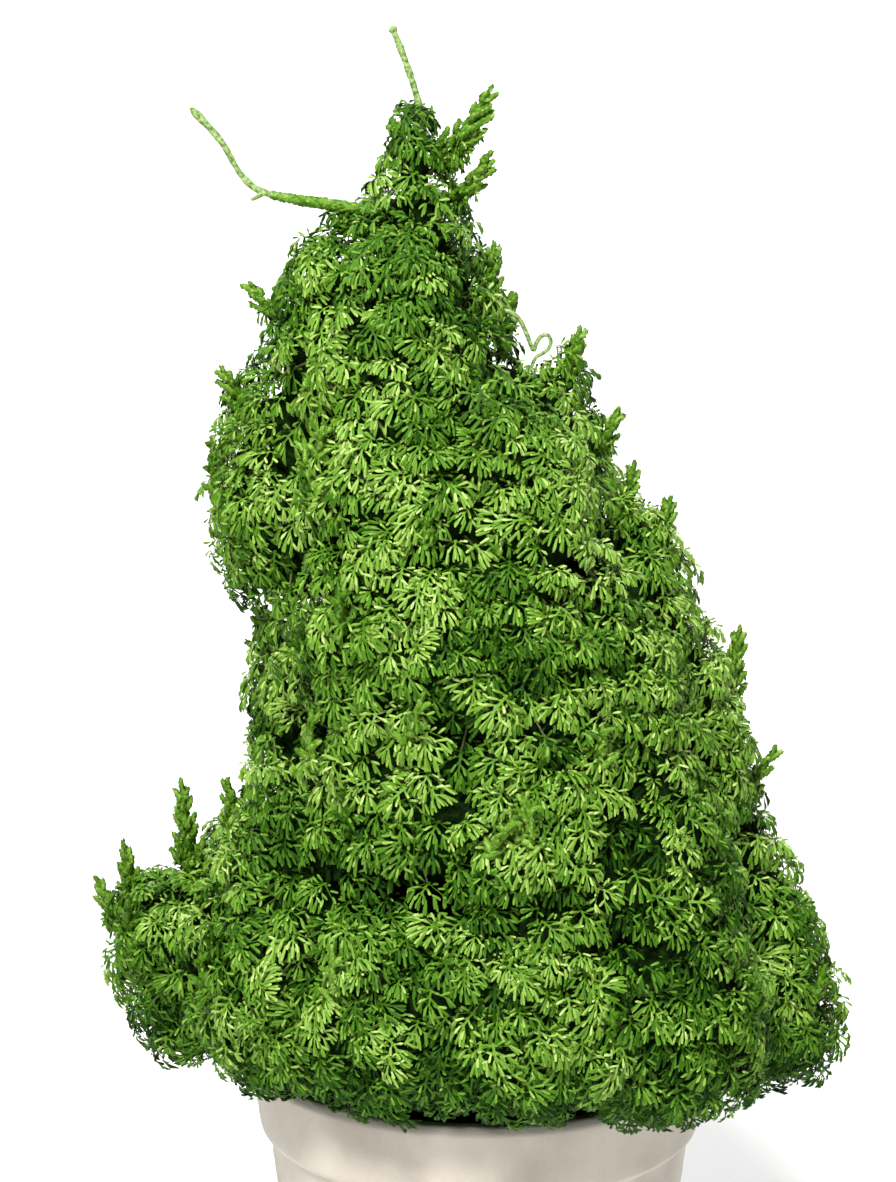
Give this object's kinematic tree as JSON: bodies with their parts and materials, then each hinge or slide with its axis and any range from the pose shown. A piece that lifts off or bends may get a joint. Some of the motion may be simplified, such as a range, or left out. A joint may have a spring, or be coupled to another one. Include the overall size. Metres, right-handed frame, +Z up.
{
  "type": "potted gemstone hinoki cypress",
  "caption": "Dwarf hinoki cypress in a plain clay pot: a dense, leaning cone of drooping fan sprays with two bare whips at its top.",
  "frame": {"origin": "middle of the pot's underside", "axes": "+Z up along the plant, -Y towards its front, +X to its right as seen from the front"},
  "size_m": [0.4464, 0.4089, 0.82],
  "materials": {
    "clay": "matte",
    "soil": "matte",
    "bark": "matte",
    "young_shoot": "satin",
    "foliage": "satin"
  },
  "bodies": {
    "root": {"bough_foot_front": "bark", "bough_foot_front_left": "bark", "bough_foot_front_right": "bark", "bough_foot_left": "bark", "bough_foot_left_front": "bark", "bough_foot_right": "bark", "bough_haunch_right": "bark", "bough_hip_right": "bark", "bough_low_right": "bark", "bough_spur_left": "bark", "foliage_breast_back_left": "foliage", "foliage_breast_back_right": "foliage", "foliage_breast_left": "foliage", "foliage_breast_right": "foliage", "foliage_flank_left": "foliage", "foliage_foot_back": "foliage", "foliage_foot_back_left": "foliage", "foliage_foot_back_right": "foliage", "foliage_foot_front": "foliage", "foliage_foot_front_left": "foliage", "foliage_foot_front_right": "foliage", "foliage_foot_left": "foliage", "foliage_foot_left_front": "foliage", "foliage_foot_right": "foliage", "foliage_haunch_right": "foliage", "foliage_hip_back_left": "foliage", "foliage_hip_back_right": "foliage", "foliage_hip_front": "foliage", "foliage_hip_left": "foliage", "foliage_hip_right": "foliage", "foliage_leader": "foliage", "foliage_low_left": "foliage", "foliage_low_right": "foliage", "foliage_middle_left": "foliage", "foliage_middle_right": "foliage", "foliage_shoulder_back": "foliage", "foliage_shoulder_front": "foliage", "foliage_shoulder_left": "foliage", "foliage_shoulder_right": "foliage", "foliage_spur_left": "foliage", "foliage_upper_left": "foliage", "foliage_upper_right": "foliage", "foliage_waist_front": "foliage", "foliage_waist_left": "foliage", "foliage_waist_right": "foliage", "pot": "clay", "soil": "soil", "trunk": "bark", "whip_left": "young_shoot"}
  },
  "joints": []
}
